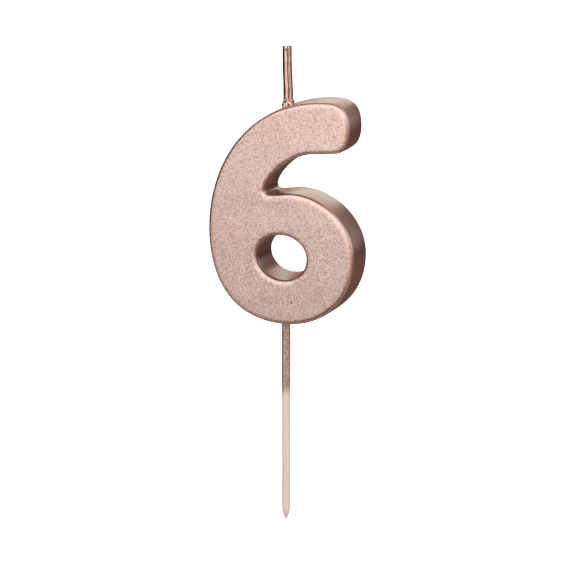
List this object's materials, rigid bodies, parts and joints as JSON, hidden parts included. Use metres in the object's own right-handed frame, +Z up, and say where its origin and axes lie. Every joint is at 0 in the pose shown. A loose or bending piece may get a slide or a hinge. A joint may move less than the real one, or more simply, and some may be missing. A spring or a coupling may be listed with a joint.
{
  "type": "number birthday candle",
  "caption": "Cast wax figure six with a metallic finish, a short stiff wick on top and a pointed round wooden pick that stands it in a cake.",
  "frame": {"origin": "on the pick's axis, at the middle of the figure's thickness, level with the figure's lowest point, which is where the icing's surface comes to", "axes": "+Z up along the pick towards the wick, -Y out of the figure's front face so that it reads as a 6 seen along +Y, +X towards the arm's tip"},
  "size_m": [0.0379, 0.0098, 0.1202],
  "materials": {
    "painted_wax": "satin",
    "painted_wick": "gloss",
    "seal_wax": "gloss",
    "cotton": "matte",
    "pick_wood": "matte"
  },
  "bodies": {
    "root": {"wax_numeral": "painted_wax", "wick_coat": "painted_wick", "wick_seal": "seal_wax", "wick_strand_1": "cotton", "wick_strand_2": "cotton", "wick_strand_3": "cotton", "pick": "pick_wood"}
  },
  "joints": []
}
